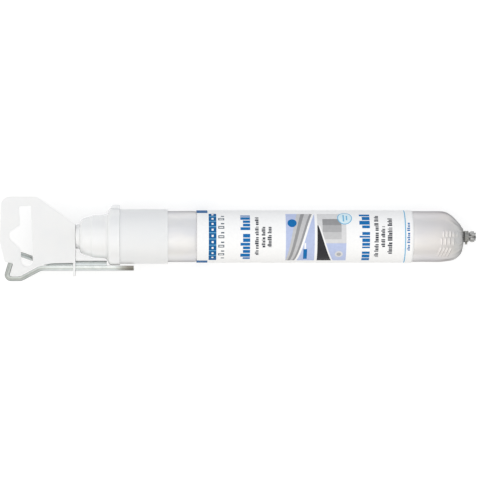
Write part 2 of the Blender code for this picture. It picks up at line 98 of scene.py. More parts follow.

# Painted shade along X: tints that multiply a piece's colour
# The foil darkens towards its tail and most by the clip: painted shade of the tail curving away and of its
# folds
FOIL_SHADE_ALONG = (
    (50.0 * MM, (1.0, 1.0, 1.0)),
    (56.0 * MM, (0.945, 0.93, 0.925)),
    (70.0 * MM, (0.88, 0.85, 0.835)),
    (76.5 * MM, (0.76, 0.76, 0.74)),
    (79.5 * MM, (0.52, 0.52, 0.50)),
    (84.0 * MM, (0.45, 0.45, 0.43)),
)
# The wire is darkened at its eye and at the end of its long leg beside the collar, painted shade
WIRE_SHADE_ALONG = (
    (-149.0 * MM, (0.66, 0.66, 0.64)),
    (-134.0 * MM, (0.72, 0.72, 0.71)),
    (-126.0 * MM, (1.0, 1.0, 1.0)),
    (-94.5 * MM, (1.0, 1.0, 1.0)),
    (-90.5 * MM, (0.52, 0.50, 0.47)),
    (-88.0 * MM, (0.36, 0.33, 0.30)),
    (-84.0 * MM, (0.30, 0.27, 0.24)),
)

# Bag: its solid's sides, its own columns, the spacing of its rows and how far they keep from a solid's ends
BAG_SIDES = 56
BAG_COLUMNS = 288
HIDDEN_ROW = 2.6 * MM
BARE_ROW = 0.45 * MM
TAIL_ROW = 0.2 * MM
END_ROW = 0.16 * MM
END_MARGIN = 0.05 * MM
TIP_MARGIN = 0.02 * MM
END_RINGS = 6
RECESS_SHARE = 0.6
OUTLINE_PROBES = 600
SMOOTH_PASSES = 8

# Bag: depths of its dents and folds, the scales of their noise along X and round it, and where they fade
DENT_DEPTH = 0.09 * MM
DENT_SCALE = 95.0
CREASE_DEPTH = 0.03 * MM
CREASE_SCALE = (130.0, 5.0)
FOLD_DEPTH = 0.60 * MM
FOLD_SCALE = (60.0, 4.2)
FOLD_REACH = 8.0 * MM
CRUMPLE_DEPTH = 0.6 * MM
CRUMPLE_SCALE = (110.0, 2.6)
END_RECESS = 0.9 * MM
TAIL_FADE = 6.0 * MM
FRONT_FADE = 3.0 * MM

# Bag: the strokes pressed into its tail, each a ridge with a groove beside it, with a painted highlight along
# its top
STROKE_HEIGHT = 0.34 * MM
STROKE_WIDTH = 0.42 * MM
STROKE_FADE = 0.12 * MM
GROOVE_PLACE = STROKE_WIDTH * 1.7
GROOVE_SHARE = 0.7
# The share of a stroke's height above which its faces get the painted highlight, and how much paler that foil
# is
HIGHLIGHT_SHARE = 0.45
HIGHLIGHT_TONE = 1.17

# Rows of strokes in millimetres: count, first place past the label, step, place across, length, slant
STROKE_ROWS = (
    (5, 14.9, 1.75, 1.25, 3.0, 0.0),
    (4, 13.9, 2.0, -2.5, 3.5, 0.0),
    (4, 12.9, 1.7, -7.75, 4.5, -0.45),
)

# Rigid pieces
NUDGE = 0.002 * MM
WELD = 0.001 * MM
TOUCH = 0.03 * MM
CORNER_REACH = 0.5 * MM
CORNER_STEPS = 4
CORNER_SHARE = 0.45
SHALLOW = math.radians(140)
SOFT_BEND = 5.0
FLAT_ANGLE = math.radians(0.4)
SHARP_ANGLE = math.radians(38)
TURNED_SHARP = math.radians(50)
TURNED_COLUMNS = 168
COLLAR_EDGE = 0.15 * MM
NOZZLE_EDGE = 0.3 * MM
LUG_EDGE = 0.35 * MM
LUG_SLANT = 1.2 * MM
LUG_FRONT = 1.1 * MM
LUG_CLEAR = 0.1 * MM
LUG_SUNK = 0.5 * MM
TAB_EDGE = 0.15 * MM
WIRE_BEND = 1.2 * MM
WIRE_EDGE = 0.25 * MM
WIRE_STEPS = 20

# Label
LABEL_WALL = 0.12 * MM
LABEL_STEP = 1.0 * MM
SKIN_COLUMNS = 720
DISC_SIDES = 20
(
    WHITE, BLUE, BAND, TEXT, GREY, SKY, SKY_PALE,
    LAVENDER, SILVER_PALE, SILVER, SILVER_MID, SILVER_DARK, CHARCOAL,
) = range(13)
INKS = {
    WHITE: (0.965, 0.965, 0.97),
    BLUE: (0.005, 0.150, 0.430),
    BAND: (0.003, 0.110, 0.310),
    TEXT: (0.045, 0.050, 0.065),
    GREY: (0.13, 0.16, 0.19),
    SKY: (0.17, 0.47, 0.72),
    SKY_PALE: (0.70, 0.86, 0.93),
    LAVENDER: (0.50, 0.57, 0.80),
    SILVER_PALE: (0.70, 0.70, 0.71),
    SILVER: (0.56, 0.56, 0.57),
    SILVER_MID: (0.43, 0.43, 0.44),
    SILVER_DARK: (0.31, 0.31, 0.32),
    CHARCOAL: (0.03, 0.03, 0.035),
}

# Lines of plain bars: a bar's usual length and the gap after it, in millimetres
TITLE_BARS = (1.5, 0.42)
TEXT_BARS = (0.62, 0.24)
FOOT_BARS = (0.6, 0.3)

# Fewest and most bars in a group, lengths and a short bar's size as shares, and the share of tall bars
BARS_IN_GROUP = (3, 8)
BAR_LENGTHS = (0.6, 1.0, 1.0, 1.2, 1.5)
SHORT_BAR = 0.74
TALL_BARS = 0.35

# The row of small open squares and dashes: the squares' line in millimetres, then how much of a step a
# square and a dash take, and how much of the row's size a dash takes
SQUARE_LINE = 0.48
SQUARE_SHARE = 0.62
DASH_SHARE = 0.30
DASH_SIZE = 0.55

# The two plain pictures, in millimetres
PICTURE_LOW = -14.9
PICTURE_HIGH = 13.4
WINDOW_WIDE = 14.3
PANE_WIDE = 14.4


def smooth_share(value, start, end):
    """Rise smoothly from 0 at start to 1 at end."""
    share = min(max((value - start) / (end - start), 0.0), 1.0)
    return share * share * (3 - 2 * share)


def spaced(start, end, step):
    """Even places from start to end, no more than a step apart."""
    count = max(2, math.ceil((end - start) / step) + 1)
    return list(np.linspace(start, end, count))


def by_identifier(sockets):
    """A Mix node's sockets by their identifiers, because several share a name."""
    return {socket.identifier: socket for socket in sockets}


def even(value):
    """The same value three times, for a scale or a grey."""
    return (value, value, value)


def halfway(first, second):
    """The colour halfway between two."""
    return tuple((a + b) / 2 for a, b in zip(first, second))


class Look:
    """A Principled material with short calls for the nodes used here."""

    def __init__(self, name, tones, roughness, metallic=0.0):
        self.material = bpy.data.materials.new(name)
        self.material.use_nodes = True
        self.tree = self.material.node_tree
        self.shader = self.tree.nodes["Principled BSDF"]
        self.tones = tones
        self.roughness = roughness
        colour = (*halfway(*tones), 1.0)
        self.set("Base Color", colour)
        self.set("Roughness", sum(roughness) / 2)
        self.set("Metallic", metallic)
        self.material.diffuse_color = colour

    def set(self, socket, value):
        """Set a value that is the same all over."""
        self.shader.inputs[socket].default_value = value

    def milky(self, weight, depth):
        """Let light into the material, as milky plastic does."""
        self.set("Subsurface Weight", weight)
        self.set("Subsurface Radius", (1.0, 1.0, 1.0))
        self.set("Subsurface Scale", depth)

    def add(self, kind, **values):
        """Add a node with the given settings."""
        node = self.tree.nodes.new(kind)
        for key, value in values.items():
            setattr(node, key, value)
        return node

    def place(self, scale):
        """Object coordinates, stretched by a scale along each axis."""
        where = self.add("ShaderNodeTexCoord")
        mapping = self.add("ShaderNodeMapping")
        mapping.inputs["Scale"].default_value = scale
        self.tree.links.new(where.outputs["Object"], mapping.inputs["Vector"])
        return mapping.outputs["Vector"]

    def noise(self, scale, detail=3.0, roughness=0.5):
        """Noise whose grain along each axis is one over the scale, in metres."""
        node = self.add("ShaderNodeTexNoise")
        node.inputs["Scale"].default_value = 1.0
        node.inputs["Detail"].default_value = detail
        node.inputs["Roughness"].default_value = roughness
        self.tree.links.new(self.place(scale), node.inputs["Vector"])
        return node.outputs["Fac"]

    def spread(self, value, low, high):
        """Map the middle of a noise's range onto low to high, with soft ends that leave no visible edge."""
        node = self.add("ShaderNodeMapRange", interpolation_type="SMOOTHSTEP")
        node.inputs["From Min"].default_value = NOISE_LOW
        node.inputs["From Max"].default_value = NOISE_HIGH
        node.inputs["To Min"].default_value = low
        node.inputs["To Max"].default_value = high
        self.tree.links.new(value, node.inputs["Value"])
        return node.outputs["Result"]

    def toned(self, value):
        """The look's two tones, mixed by a noise."""
        node = self.add("ShaderNodeMix", data_type="RGBA")
        sockets = by_identifier(node.inputs)
        self.tree.links.new(self.spread(value, 0.0, 1.0), sockets["Factor_Float"])
        for socket, tone in zip(("A_Color", "B_Color"), self.tones):
            sockets[socket].default_value = (*tone, 1.0)
        return by_identifier(node.outputs)["Result_Color"]

    def shaded_along_x(self, colour, shade_tints):
        """A colour multiplied by tints of painted shade that change along X, given as (place, tint)."""
        first, last = shade_tints[0][0], shade_tints[-1][0]
        split = self.add("ShaderNodeSeparateXYZ")
        self.tree.links.new(self.place(even(1.0)), split.inputs[0])
        along = self.add("ShaderNodeMapRange")
        along.inputs["From Min"].default_value = first
        along.inputs["From Max"].default_value = last
        self.tree.links.new(split.outputs["X"], along.inputs["Value"])
        ramp = self.add("ShaderNodeValToRGB")
        stops = ramp.color_ramp.elements
        for place, _ in shade_tints[1:-1]:
            stops.new((place - first) / (last - first))
        for stop, (_, tint) in zip(stops, shade_tints):
            stop.color = (*tint, 1.0)
        self.tree.links.new(along.outputs["Result"], ramp.inputs["Fac"])
        product = self.add("ShaderNodeMix", data_type="RGBA", blend_type="MULTIPLY")
        sockets = by_identifier(product.inputs)
        sockets["Factor_Float"].default_value = 1.0
        self.tree.links.new(colour, sockets["A_Color"])
        self.tree.links.new(ramp.outputs["Color"], sockets["B_Color"])
        return by_identifier(product.outputs)["Result_Color"]

    def bump(self, height, strength, distance, normal=None):
        """A normal that a noise tilts, on top of another where one is given."""
        node = self.add("ShaderNodeBump")
        node.inputs["Strength"].default_value = strength
        node.inputs["Distance"].default_value = distance
        self.tree.links.new(height, node.inputs["Height"])
        if normal is not None:
            self.tree.links.new(normal, node.inputs["Normal"])
        return node.outputs["Normal"]

    def finish(self, normal, value, colour):
        """Link the normal and colour, and the roughness as a noise spreads it over the look's span."""
        self.tree.links.new(normal, self.shader.inputs["Normal"])
        self.tree.links.new(self.spread(value, *self.roughness), self.shader.inputs["Roughness"])
        self.tree.links.new(colour, self.shader.inputs["Base Color"])
        return self.material


def foil_look(name, scale=1.0):
    """Silver laminate film: satin metal with soft creases, darker and warmer towards its tail, where shade is
    painted into its colour.
    """
    tones = [tuple(value * scale for value in tone) for tone in FOIL_TONES]
    look = Look(name, tones, FOIL_ROUGHNESS, metallic=0.75)
    look.set("Specular Tint", (0.06, 0.06, 0.08, 1.0))
    broad = look.noise((70.0, 150.0, 150.0), detail=2.0)
    fine = look.noise((240.0, 800.0, 800.0), detail=4.0, roughness=0.6)
    grain = look.noise(even(4200.0), detail=2.0)
    creased = look.bump(fine, strength=0.10, distance=0.4 * MM)
    normal = look.bump(grain, strength=0.05, distance=0.05 * MM, normal=creased)
    # The tints along X paint shade into the foil's colour.
    return look.finish(normal, fine, look.shaded_along_x(look.toned(broad), FOIL_SHADE_ALONG))


def crushed_look():
    """The same film crushed and twisted behind the clip, dark grey with painted shade, darkest in the hollows
    of its folds.
    """
    look = Look("crushed_look", CRUSHED_SHADE_TONES, CRUSHED_ROUGHNESS, metallic=0.85)
    folds = look.noise((500.0, 1300.0, 1300.0), roughness=0.6)
    # The fold noise that bumps the film also darkens its hollows, painted shade
    return look.finish(look.bump(folds, strength=0.5, distance=0.2 * MM), folds, look.toned(folds))


def film_look(name, colour):
    """Printed film in one ink, with a faint mottle and the film's shallow waves."""
    paler = tuple(min(value * FILM_GAIN + FILM_LIFT, 1.0) for value in colour)
    look = Look(name, (colour, paler), FILM_ROUGHNESS)
    look.set("Specular IOR Level", 0.12)
    mottle = look.noise(even(700.0))
    wave = look.noise((70.0, 240.0, 240.0), detail=2.0)
    return look.finish(look.bump(wave, strength=0.10, distance=0.3 * MM), wave, look.toned(mottle))


def plastic_look(name, tones, coat=0.0):
    """White moulded plastic with faint flow marks and a fine moulded skin, glossy where it has a coat."""
    look = Look(name, tones, PLASTIC_ROUGHNESS)
    look.milky(weight=0.3, depth=0.8 * MM)
    look.set("Coat Weight", coat)
    look.set("Coat Roughness", 0.12)
    look.set("Coat IOR", 2.0)
    flow = look.noise((60.0, 120.0, 120.0))
    skin = look.noise(even(700.0))
    return look.finish(look.bump(skin, strength=0.04, distance=0.06 * MM), flow, look.toned(flow))


def tab_look():
    """Frosted plastic that lets a little light in."""
    look = Look("frosted_look", TAB_TONES, TAB_ROUGHNESS)
    look.milky(weight=0.5, depth=2.0 * MM)
    haze = look.noise(even(110.0))
    frost = look.noise(even(3400.0), detail=2.0)
    return look.finish(look.bump(frost, strength=0.15, distance=0.05 * MM), haze, look.toned(haze))


def steel_look():
    """Drawn steel wire, bright along its legs, with painted shade that dulls its eye and darkens the end of
    its long leg.
    """
    look = Look("steel_look", STEEL_TONES, STEEL_ROUGHNESS, metallic=1.0)
    look.set("Specular Tint", (0.05, 0.05, 0.05, 1.0))
    lines = look.noise((120.0, 5200.0, 5200.0), roughness=0.6)
    tone = look.noise(even(300.0))
    # The tints along X paint shade into the wire's colour.
    colour = look.shaded_along_x(look.toned(tone), WIRE_SHADE_ALONG)
    return look.finish(look.bump(lines, strength=0.15, distance=0.05 * MM), lines, colour)


def clip_look():
    """Dull crimped metal with a mottle of grime."""
    look = Look("clip_look", CLIP_TONES, CLIP_ROUGHNESS, metallic=1.0)
    grime = look.noise(even(900.0), detail=4.0, roughness=0.6)
    return look.finish(look.bump(grime, strength=0.3, distance=0.1 * MM), grime, look.toned(grime))


def put(name, data):
    """Put a new object into the scene."""
    thing = bpy.data.objects.new(name, data)
    bpy.context.scene.collection.objects.link(thing)
    return thing


def new_piece(name, vertices, faces, materials):
    """Put a new mesh into the scene, shaded smooth."""
    mesh = bpy.data.meshes.new(name)
    mesh.from_pydata([tuple(v) for v in vertices], [], faces)
    for material in materials:
        mesh.materials.append(material)
    piece = put(name, mesh)
    mesh.shade_smooth()
    return piece


def ray_tree(node):
    """A tree of a CAD solid that rays can be cast at."""
    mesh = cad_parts[node].data
    corners = [v.co for v in mesh.vertices]
    return BVHTree.FromPolygons(corners, [list(p.vertices) for p in mesh.polygons])


def settled_place():
    """Where along X the sagging pack comes to lie level."""
    low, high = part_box("label_wrap")
    return low.x + (high.x - low.x) / 4


def lying_centre(tree, x, radius, settled):
    """Height of the bag's or label's middle at x, which is level where the pack has settled."""
    above = Vector((min(x, settled), 0.0, AXIS_HEIGHT * 3))
    top = tree.ray_cast(above, Vector((0.0, 0.0, -1.0)))[0]
    return top.z - radius


def section(tree, x, centre, columns):
    """A solid's radius at x, read at the solid's own sides and rounded out to more columns."""
    radii = []
    for side in range(BAG_SIDES):
        angle = 2 * math.pi * side / BAG_SIDES
        direction = Vector((0.0, math.cos(angle), math.sin(angle)))
        reach = tree.ray_cast(Vector((x, 0.0, centre)), direction)[3]
        radii.append(reach if reach else 0.0)
    waves = np.fft.rfft(radii)
    waves = np.pad(waves, (0, columns // 2 + 1 - len(waves)))
    return np.fft.irfft(waves, columns) * columns / BAG_SIDES


def rows_along(tree, start, end, centre, step):
    """Places along X that lie a step apart on the solid's outline."""
    probe = np.linspace(start, end, OUTLINE_PROBES)
    radii = []
    for x in probe:
        sides = [tree.ray_cast(Vector((x, 0.0, centre)), Vector((0.0, side, 0.0)))[3] for side in (1.0, -1.0)]
        radii.append(sum(value or 0.0 for value in sides) / 2)
    along = np.concatenate(([0.0], np.cumsum(np.hypot(np.diff(probe), np.diff(radii)))))
    return list(np.interp(spaced(0.0, along[-1], step), along, probe))


def normals_of(points):
    """Outward normals of a grid of points, rows by columns, closed across the columns."""
    down = np.gradient(points, axis=0)
    across = np.roll(points, -1, axis=1) - np.roll(points, 1, axis=1)
    normals = np.cross(across, down)
    return normals / np.maximum(np.linalg.norm(normals, axis=2, keepdims=True), 1e-12)


Marks = namedtuple("Marks", "collar_end label_start label_end clip_start clip_end")


def bag_marks():
    """Places along X where the bag leaves the collar, and passes through the label and the clip."""
    collar_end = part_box("collar")[1].x
    label_start, label_end = (corner.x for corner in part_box("label_wrap"))
    clip_start, clip_end = (corner.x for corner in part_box("tail_clip"))
    return Marks(collar_end, label_start, label_end, clip_start, clip_end)


def bag_rows(tree, marks, centre):
    """Places of the bag's rows along X, finer where it shows, and the number of rows before the clip."""
    low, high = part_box("foil_pack")
    rows = spaced(low.x + END_MARGIN, marks.collar_end - MM, HIDDEN_ROW)
    rows += spaced(marks.collar_end - MM, marks.label_start + MM, BARE_ROW)[1:]
    rows += spaced(marks.label_start + MM, marks.label_end - MM, HIDDEN_ROW)[1:]
    rows += rows_along(tree, marks.label_end - MM, marks.clip_start - END_MARGIN, centre, TAIL_ROW)[1:]
    before_clip = len(rows)
    rows += spaced(marks.clip_start, marks.clip_end, 2 * TAIL_ROW)
    rows += spaced(marks.clip_end, high.x - TIP_MARGIN, END_ROW)[1:]
    return np.array(rows), before_clip


def bag_grid(marks):
    """The bag's smooth skin as a grid of points, with its rows' places and its columns' angles."""
    tree = ray_tree("foil_pack")
    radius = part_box("foil_pack")[1].y
    settled = settled_place()
    rows, before_clip = bag_rows(tree, marks, lying_centre(tree, settled, radius, settled))
    centres = np.array([lying_centre(tree, x, radius, settled) for x in rows])
    radii = np.array([section(tree, x, c, BAG_COLUMNS) for x, c in zip(rows, centres)])
    tail_from = int(np.searchsorted(rows, marks.label_end))
    for _ in range(SMOOTH_PASSES):
        for values in (rows, radii):
            tail = values[tail_from - 1:before_clip + 1]
            tail[1:-1] = (tail[:-2] + 2 * tail[1:-1] + tail[2:]) / 4
    angles = 2 * math.pi * np.arange(BAG_COLUMNS) / BAG_COLUMNS
    points = np.empty((len(rows), BAG_COLUMNS, 3))
    points[:, :, 0] = rows[:, None]
    points[:, :, 1] = radii * np.cos(angles)
    points[:, :, 2] = centres[:, None] + radii * np.sin(angles)
    return points, rows, angles


def strokes_height(points):
    """Height at each point of the bag's grid of the short plain strokes pressed into its tail."""
    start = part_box("label_wrap")[1].x
    height = np.zeros(points.shape[:2])
    for count, first, step, y, length, slant in STROKE_ROWS:
        turn = math.atan(slant)
        for i in range(count):
            dx = points[:, :, 0] - (start + (first + step * i) * MM)
            dy = points[:, :, 1] - y * MM
            beside = dx * math.cos(turn) + dy * math.sin(turn)
            along = np.abs(dy * math.cos(turn) - dx * math.sin(turn))
            ridge = np.exp(-(beside / STROKE_WIDTH) ** 2)
            groove = np.exp(-((beside - GROOVE_PLACE) / STROKE_WIDTH) ** 2)
            ends = 1 / (1 + np.exp((along - length * MM / 2) / STROKE_FADE))
            upper = points[:, :, 2] > AXIS_HEIGHT
            height += np.where(upper, (ridge - GROOVE_SHARE * groove) * ends, 0.0)
    return height * STROKE_HEIGHT


def ring_noise(x, angle, scale):
    """Noise round the bag at x, by its scales along X and round the bag."""
    along, around = scale
    return noise.noise(Vector((math.cos(angle) * around, math.sin(angle) * around, x * along)))


def folds_height(points, rows, angles, marks):
    """Height at each point of the bag's grid of its dents, creases, tail folds and crumpled end."""
    height = np.zeros(points.shape[:2])
    for i, x in enumerate(rows):
        bare = smooth_share(x, marks.label_end, marks.label_end + TAIL_FADE)
        bare *= 1 - smooth_share(x, marks.clip_start - MM, marks.clip_start)
        front = smooth_share(x, marks.collar_end, marks.collar_end + FRONT_FADE)
        front *= 1 - smooth_share(x, marks.label_start - FRONT_FADE, marks.label_start)
        folded = smooth_share(x, marks.clip_start - FOLD_REACH, marks.clip_start - 2 * MM) * bare
        loose = smooth_share(x, marks.clip_end, marks.clip_end + MM)
        for j, angle in enumerate(angles):
            place = Vector(points[i, j])
            dents = noise.noise(place * DENT_SCALE) * DENT_DEPTH
            along, around = CREASE_SCALE
            stretched = Vector((place.x * along, math.cos(angle) * around, math.sin(angle) * around))
            creases = noise.noise(stretched) * CREASE_DEPTH
            folds = -abs(ring_noise(place.x, angle, FOLD_SCALE)) * FOLD_DEPTH
            crumple = ring_noise(place.x, angle, CRUMPLE_SCALE) * CRUMPLE_DEPTH
            height[i, j] = (dents + creases) * (bare + front) + folds * folded + crumple * loose
    return height


def close_end(vertices, faces, start, rim, recess, tail):
    """Close the bag's tail or its other end with rings that shrink to its middle."""
    middle = rim.mean(axis=0)
    columns = len(rim)
    previous = start
    for ring in range(1, END_RINGS):
        share = 1 - ring / END_RINGS
        depth = recess * smooth_share(ring / END_RINGS, 0.0, RECESS_SHARE)
        base = len(vertices)
        for point in rim:
            place = middle + (point - middle) * share
            vertices.append((place[0] + depth, place[1], place[2]))
        for j in range(columns):
            k = (j + 1) % columns
            quad = (previous + j, previous + k, base + k, base + j)
            faces.append(quad if tail else quad[::-1])
        previous = base
    tip = len(vertices)
    vertices.append((middle[0] + recess, middle[1], middle[2]))
    for j in range(columns):
        k = (j + 1) % columns
        corner = (previous + j, previous + k, tip)
        faces.append(corner if tail else corner[::-1])


def bag_mesh(points):
    """The bag's vertices and faces, closed at both ends."""
    rows, columns = points.shape[:2]
    vertices = [tuple(p) for p in points.reshape(-1, 3)]
    faces = []
    for i in range(rows - 1):
        for j in range(columns):
            k = (j + 1) % columns
            faces.append((i * columns + j, i * columns + k, (i + 1) * columns + k, (i + 1) * columns + j))
    close_end(vertices, faces, 0, points[0], 0.0, False)
    close_end(vertices, faces, (rows - 1) * columns, points[-1], -END_RECESS, True)
    return vertices, faces


def make_bag(plain, crushed, stroke_highlight):
    """The foil bag, with its dents, tail folds, pressed strokes and gathered end."""
    low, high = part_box("foil_pack")
    marks = bag_marks()
    points, rows, angles = bag_grid(marks)
    normals = normals_of(points)
    strokes = strokes_height(points)
    points += normals * (strokes + folds_height(points, rows, angles, marks))[:, :, None]
    points[:, :, 2] = np.maximum(points[:, :, 2], low.z)
    points[:, :, 0] = np.minimum(points[:, :, 0], high.x)
    bag = new_piece("foil_bag", *bag_mesh(points), [plain, crushed, stroke_highlight])
    # Faces on the strokes' tops get the paler foil, a painted highlight
    raised = set(np.flatnonzero(strokes > STROKE_HEIGHT * HIGHLIGHT_SHARE).tolist())
    for polygon in bag.data.polygons:
        if polygon.center.x > marks.clip_start:
            polygon.material_index = 1
        elif polygon.vertices[0] in raised:
            polygon.material_index = 2
    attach(bag, "pack")
    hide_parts("foil_pack")


def block(along, size, low, high, ink):
    """A rectangle of ink on the unrolled label, in millimetres from its head end and top line."""
    corners = [(along, low), (along + size, low), (along + size, high), (along, high)]
    return [(x * MM, y * MM) for x, y in corners], ink


def disc(along, across, radius, ink, stretch=1.0):
    """A round or oval patch of ink."""
    points = []
    for k in range(DISC_SIDES):
        angle = 2 * math.pi * (k + 0.5) / DISC_SIDES
        x = along + radius * math.cos(angle)
        y = across + stretch * radius * math.sin(angle)
        points.append((x * MM, y * MM))
    return points, ink


def strip(along, low, high, foot, head, ink):
    """A slanted strip of ink from two points on a picture's low side to two on its high side."""
    corners = [(foot[0], low), (foot[1], low), (head[1], high), (head[0], high)]
    return [((along + x) * MM, y * MM) for x, y in corners], ink


def print_line(seed, along, size, start, end, ink, bars):
    """A line of plain bars in groups, in place of a line of print, with even feet towards the tail."""
    wide, gap = bars
    draw = random.Random(seed)
    shapes = []
    place = start
    while place < end - wide:
        for _ in range(draw.randint(*BARS_IN_GROUP)):
            length = wide * draw.choice(BAR_LENGTHS)
            if place + length > end:
                break
            tall = size if draw.random() < TALL_BARS else size * SHORT_BAR
            shapes.append(block(along + size - tall, tall, place, place + length, ink))
            place += length + gap
        place += wide
    return shapes


def small_squares(along, size, start, end, count, ink):
    """A row of small open squares with short dashes between them."""
    shapes = []
    step = (end - start) / count
    for i in range(count):
        low = start + step * i
        if i % 2:
            high = low + step * SQUARE_SHARE
            hole = size - 2 * SQUARE_LINE
            shapes.append(block(along, size, low, high, ink))
            shapes.append(block(along + SQUARE_LINE, hole, low + SQUARE_LINE, high - SQUARE_LINE, WHITE))
        else:
            dash = size * DASH_SIZE
            shapes.append(block(along + size - dash, dash, low, low + step * DASH_SHARE, ink))
    return shapes


def window_picture(along, low, high):
    """A plain picture of a sloping sill with a bead of sealant along it."""
    right = along + WINDOW_WIDE
    return [
        block(along, WINDOW_WIDE, low, high, LAVENDER),
        strip(along, low, high, (0.0, 4.4), (5.6, WINDOW_WIDE), SILVER),
        strip(along, low, high, (1.0, 2.2), (7.6, 9.4), SILVER_DARK),
        strip(along, low, high, (3.4, 4.4), (12.0, 13.2), SILVER_DARK),
        strip(along, low, high, (4.4, 5.5), (13.2, WINDOW_WIDE), WHITE),
        disc(along + 3.1, high - 6.4, 2.3, BLUE),
        block(right - 5.6, 1.9, low + 1.6, low + 8.4, BLUE),
        block(right - 5.1, 0.8, low + 8.4, low + 11.6, WHITE),
    ]


def pane_picture(along, low, high):
    """A plain picture of a shaded pane above a dark wedge with a bead of sealant."""
    shapes = [
        block(along, PANE_WIDE, low, high, LAVENDER),
        block(along, PANE_WIDE, low + 11.5, high, SILVER_PALE),
    ]
    for i, tone in enumerate((SILVER, SILVER_MID, SILVER_DARK)):
        shapes.append(block(along + 2.6, 9.4, low + 13.5 + 3.6 * i, low + 17.2 + 3.6 * i, tone))
    wedge_top = low + 20.5
    shapes += [
        strip(along, low, wedge_top, (0.0, 7.2), (0.0, 0.6), CHARCOAL),
        strip(along, low, wedge_top, (7.2, 8.0), (0.6, 1.3), WHITE),
        disc(along + 10.8, low + 5.2, 2.0, SILVER_PALE),
        disc(along + 10.8, low + 5.2, 1.1, SILVER_MID),
    ]
    return shapes


def oval_patch(along, across):
    """A plain oval patch with two upright strokes."""
    return [
        disc(along, across, 3.7, SKY, stretch=1.1),
        disc(along, across, 3.25, SKY_PALE, stretch=1.1),
        block(along - 1.0, 0.7, across - 2.3, across + 2.3, SKY),
        block(along + 0.6, 0.7, across - 1.6, across + 1.6, SKY),
    ]


def band_pattern():
    """White squares on the second dark band, with a pale line between each two."""
    squares = [-12.6 + 3.1 * i for i in range(9)]
    shapes = [block(7.3, 1.0, low, low + 1.0, WHITE) for low in squares]
    shapes += [block(5.9, 3.8, low + 1.88, low + 2.22, SKY) for low in squares[:-1]]
    return shapes


def label_print(edge):
    """The print as a list of (outline, ink), each over the ones before it."""
    shapes = [
        block(0.0, 5.4, 14.4, edge, BAND),
        block(0.0, 5.4, -edge, -15.0, BAND),
        block(5.9, 3.8, -14.5, 13.6, BAND),
        block(103.2, 0.55, -edge, edge, SKY),
    ]
    shapes += band_pattern()
    shapes += small_squares(along=10.6, size=3.0, start=-12.8, end=13.4, count=11, ink=GREY)
    shapes += print_line(seed=5, along=21.6, size=4.8, start=-13.4, end=12.6, ink=BLUE, bars=TITLE_BARS)
    shapes += print_line(seed=8, along=28.8, size=1.8, start=-10.2, end=10.8, ink=TEXT, bars=TEXT_BARS)
    shapes += print_line(seed=9, along=32.1, size=1.8, start=-5.6, end=5.8, ink=TEXT, bars=TEXT_BARS)
    shapes += print_line(seed=10, along=35.0, size=2.0, start=-5.4, end=5.4, ink=TEXT, bars=TEXT_BARS)
    shapes += window_picture(44.1, PICTURE_LOW, PICTURE_HIGH)
    shapes += pane_picture(59.7, PICTURE_LOW, PICTURE_HIGH)
    shapes += oval_patch(73.4, 10.2)
    shapes += print_line(seed=14, along=80.6, size=5.2, start=-14.8, end=14.0, ink=BLUE, bars=TITLE_BARS)
    shapes += print_line(seed=15, along=88.0, size=2.1, start=-11.6, end=12.2, ink=TEXT, bars=TEXT_BARS)
    shapes += print_line(seed=16, along=91.4, size=1.9, start=-5.4, end=5.6, ink=TEXT, bars=TEXT_BARS)
    shapes += print_line(seed=17, along=94.6, size=2.3, start=-9.4, end=10.0, ink=TEXT, bars=TEXT_BARS)
    shapes += print_line(seed=18, along=104.3, size=1.4, start=-7.4, end=7.8, ink=BLUE, bars=FOOT_BARS)
    return shapes


def cut_along(work, outline):
    """Cut the flat mesh along the sides of an outline, and only near it."""
    low = [min(p[i] for p in outline) - LABEL_STEP for i in (0, 1)]
    high = [max(p[i] for p in outline) + LABEL_STEP for i in (0, 1)]
    near = set()
    for face in work.faces:
        place = face.verts[0].co
        if low[0] < place.x < high[0] and low[1] < place.y < high[1]:
            near.update((*face.verts, *face.edges, face))
    near = list(near)
    for here, after in zip(outline, outline[1:] + outline[:1]):
        side = Vector((here[1] - after[1], after[0] - here[0], 0.0)).normalized()
        cut = bmesh.ops.bisect_plane(work, geom=near, dist=NUDGE, plane_co=(*here, 0.0), plane_no=side)
        near = [item for item in cut["geom"] if item.is_valid]


def within(points, outline):
    """Which of the points lie within an outline."""
    inside = np.zeros(len(points), bool)
    for (x0, y0), (x1, y1) in zip(outline, outline[1:] + outline[:1]):
        if y0 == y1:
            continue
        crosses = (points[:, 1] < y0) != (points[:, 1] < y1)
        reach = x0 + (points[:, 1] - y0) * (x1 - x0) / (y1 - y0)
        inside ^= crosses & (points[:, 0] < reach)
    return inside


def printed_sheet(length, half):
    """The unrolled label as a flat mesh, cut so that each face has one ink."""
    along = spaced(0.0, length, LABEL_STEP)
    across = spaced(-half, half, LABEL_STEP)
    work = bmesh.new()
    grid = [[work.verts.new((a, s, 0.0)) for s in across] for a in along]
    for i in range(len(along) - 1):
        for j in range(len(across) - 1):
            work.faces.new((grid[i][j], grid[i + 1][j], grid[i + 1][j + 1], grid[i][j + 1]))
    shapes = label_print(half / MM)
    for outline, _ in shapes:
        cut_along(work, outline)
    centres = np.array([face.calc_center_median()[:2] for face in work.faces])
    inks = np.full(len(centres), WHITE)
    for outline, ink in shapes:
        inks[within(centres, outline)] = ink
    for face, ink in zip(work.faces, inks):
        face.material_index = int(ink)
        face.smooth = True
    return work


